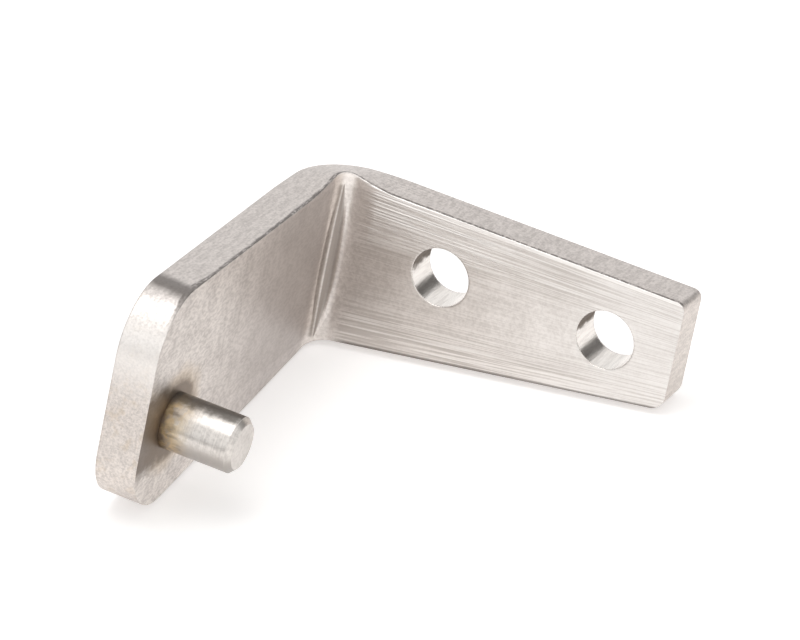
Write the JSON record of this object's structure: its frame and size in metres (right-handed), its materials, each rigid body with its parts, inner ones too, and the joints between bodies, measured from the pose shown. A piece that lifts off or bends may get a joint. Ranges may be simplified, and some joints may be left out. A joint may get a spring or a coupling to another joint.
{
  "type": "hinge",
  "caption": "Hinge bracket of folded steel plate with a tapered edge, screw holes in its long leg and a hinge pin welded through its short leg.",
  "frame": {"origin": "where the hinge pin's axis leaves the short leg's inner face", "axes": "+X along the pin to its tip and along the long leg to its free end, +Y square to the long leg, out of its mounting face, +Z along the fold towards the plate's straight edge"},
  "size_m": [0.0466, 0.0475, 0.027],
  "materials": {
    "plate_steel": "hot-rolled and brushed stainless plate with matte cut edges",
    "pin_steel": "turned bright, straw heat tint at the root",
    "weld_steel": "plug weld, heat-tinted"
  },
  "bodies": {
    "root": {"bracket_plate": "plate_steel", "hinge_pin": "pin_steel", "pin_weld": "weld_steel"}
  },
  "joints": []
}
